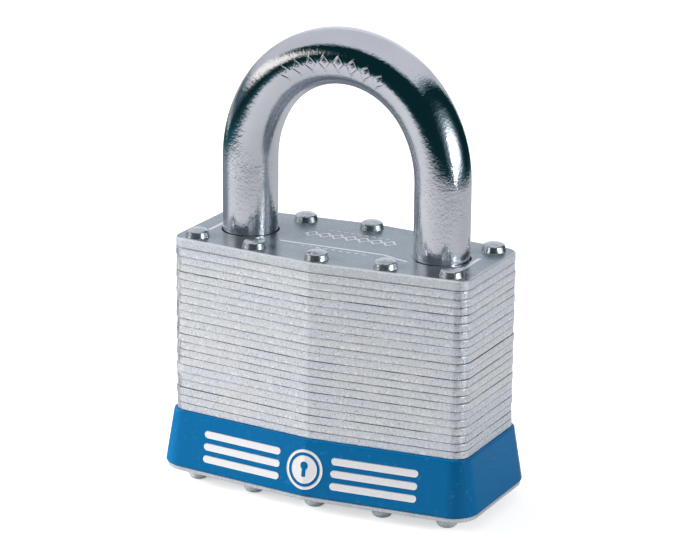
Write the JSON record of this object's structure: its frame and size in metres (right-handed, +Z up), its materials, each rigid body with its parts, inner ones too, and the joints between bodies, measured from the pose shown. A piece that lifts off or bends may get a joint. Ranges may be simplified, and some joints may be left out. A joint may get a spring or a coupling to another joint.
{
  "type": "laminated padlock",
  "caption": "Laminated steel padlock with a riveted plate body, a blue plastic bumper and a sliding chromed shackle, locked by two levers from a pin cylinder.",
  "frame": {"origin": "under the middle of the body, in the plane of the flat ends of the lower rivet heads", "axes": "+Z up along the shackle legs, +X along the wide front face, front face towards -Y"},
  "size_m": [0.0686, 0.035, 0.0935],
  "materials": {
    "sheared_steel": "bright plated, sheared edges",
    "plated_steel": "satin plated",
    "rivet_steel": "bright plated",
    "blue_plastic": "glossy, dyed blue",
    "shackle_chrome": "polished chrome plate",
    "spring_steel": "bare drawn wire",
    "brass": "turned",
    "pin_brass": "turned",
    "zinc_alloy": "die cast",
    "lever_steel": "hardened, oiled"
  },
  "bodies": {
    "body": {"lamination_01": "sheared_steel", "lamination_02": "sheared_steel", "lamination_03": "sheared_steel", "lamination_04": "sheared_steel", "lamination_05": "sheared_steel", "lamination_06": "sheared_steel", "lamination_07": "sheared_steel", "lamination_08": "sheared_steel", "lamination_09": "sheared_steel", "lamination_10": "sheared_steel", "lamination_11": "sheared_steel", "lamination_12": "sheared_steel", "lamination_13": "sheared_steel", "lamination_14": "sheared_steel", "lamination_15": "sheared_steel", "lamination_16": "sheared_steel", "lamination_17": "sheared_steel", "lamination_18": "sheared_steel", "lamination_19": "sheared_steel", "lamination_20": "sheared_steel", "lamination_21": "sheared_steel", "lamination_22": "sheared_steel", "lamination_23": "sheared_steel", "lamination_24": "sheared_steel", "lamination_25": "sheared_steel", "lamination_26": "sheared_steel", "lamination_27": "sheared_steel", "lamination_28": "sheared_steel", "top_plate": "plated_steel", "bottom_plate": "plated_steel", "bumper": "blue_plastic", "rivets": "rivet_steel", "cylinder_housing": "brass", "pin_chamber_cap": "brass", "shackle_spring": "spring_steel", "lever_spring_left": "spring_steel", "lever_spring_right": "spring_steel", "pin_spring_1": "spring_steel", "pin_spring_2": "spring_steel", "pin_spring_3": "spring_steel", "pin_spring_4": "spring_steel", "pin_spring_5": "spring_steel"},
    "shackle": {"shackle": "shackle_chrome"},
    "plug": {"key_plug": "brass", "plug_clip": "spring_steel", "plug_cam": "zinc_alloy"},
    "lever_left": {"locking_lever_left": "lever_steel"},
    "lever_right": {"locking_lever_right": "lever_steel"},
    "key_pin_1": {"key_pin_1": "pin_brass"},
    "driver_pin_1": {"driver_pin_1": "pin_brass"},
    "key_pin_2": {"key_pin_2": "pin_brass"},
    "driver_pin_2": {"driver_pin_2": "pin_brass"},
    "key_pin_3": {"key_pin_3": "pin_brass"},
    "driver_pin_3": {"driver_pin_3": "pin_brass"},
    "key_pin_4": {"key_pin_4": "pin_brass"},
    "driver_pin_4": {"driver_pin_4": "pin_brass"},
    "key_pin_5": {"key_pin_5": "pin_brass"},
    "driver_pin_5": {"driver_pin_5": "pin_brass"}
  },
  "joints": [
    {"name": "shackle_lift", "type": "slide", "parent": "body", "child": "shackle", "axis": [0, 0, 1], "range_m": [0, 0.017], "deforming": ["shackle_spring"]},
    {"name": "plug_turn", "type": "hinge", "parent": "body", "child": "plug", "pos_m": [0, 0, 0.0134], "axis": [0, 0, -1], "range_deg": [0, 90]},
    {"name": "lever_left_swing", "type": "hinge", "parent": "body", "child": "lever_left", "pos_m": [-0.0142, -0.0107, 0.0421], "axis": [0, 0, 1], "range_deg": [0, 13.2], "deforming": ["lever_spring_left"]},
    {"name": "lever_right_swing", "type": "hinge", "parent": "body", "child": "lever_right", "pos_m": [0.0142, 0.0107, 0.0421], "axis": [0, 0, 1], "range_deg": [0, 13.2], "deforming": ["lever_spring_right"]},
    {"name": "key_pin_1_slide", "type": "slide", "parent": "plug", "child": "key_pin_1", "axis": [0, 1, 0], "range_m": [0, 0.0012]},
    {"name": "key_pin_2_slide", "type": "slide", "parent": "plug", "child": "key_pin_2", "axis": [0, 1, 0], "range_m": [0, 0.0012]},
    {"name": "key_pin_3_slide", "type": "slide", "parent": "plug", "child": "key_pin_3", "axis": [0, 1, 0], "range_m": [0, 0.0012]},
    {"name": "key_pin_4_slide", "type": "slide", "parent": "plug", "child": "key_pin_4", "axis": [0, 1, 0], "range_m": [0, 0.0012]},
    {"name": "key_pin_5_slide", "type": "slide", "parent": "plug", "child": "key_pin_5", "axis": [0, 1, 0], "range_m": [0, 0.0012]},
    {"name": "driver_pin_1_slide", "type": "slide", "parent": "body", "child": "driver_pin_1", "axis": [-1, 0, 0], "range_m": [0, 0.0015], "stiffness_N_per_m": 150, "springref_m": -0.002, "deforming": ["pin_spring_1"]},
    {"name": "driver_pin_2_slide", "type": "slide", "parent": "body", "child": "driver_pin_2", "axis": [-1, 0, 0], "range_m": [0, 0.0015], "stiffness_N_per_m": 150, "springref_m": -0.002, "deforming": ["pin_spring_2"]},
    {"name": "driver_pin_3_slide", "type": "slide", "parent": "body", "child": "driver_pin_3", "axis": [-1, 0, 0], "range_m": [0, 0.0015], "stiffness_N_per_m": 150, "springref_m": -0.002, "deforming": ["pin_spring_3"]},
    {"name": "driver_pin_4_slide", "type": "slide", "parent": "body", "child": "driver_pin_4", "axis": [-1, 0, 0], "range_m": [0, 0.0015], "stiffness_N_per_m": 150, "springref_m": -0.002, "deforming": ["pin_spring_4"]},
    {"name": "driver_pin_5_slide", "type": "slide", "parent": "body", "child": "driver_pin_5", "axis": [-1, 0, 0], "range_m": [0, 0.0015], "stiffness_N_per_m": 150, "springref_m": -0.002, "deforming": ["pin_spring_5"]}
  ],
  "couplings": [
    {"joint": "lever_left_swing", "follows": "plug_turn", "ratio": 0.14666},
    {"joint": "lever_right_swing", "follows": "plug_turn", "ratio": 0.14666}
  ]
}
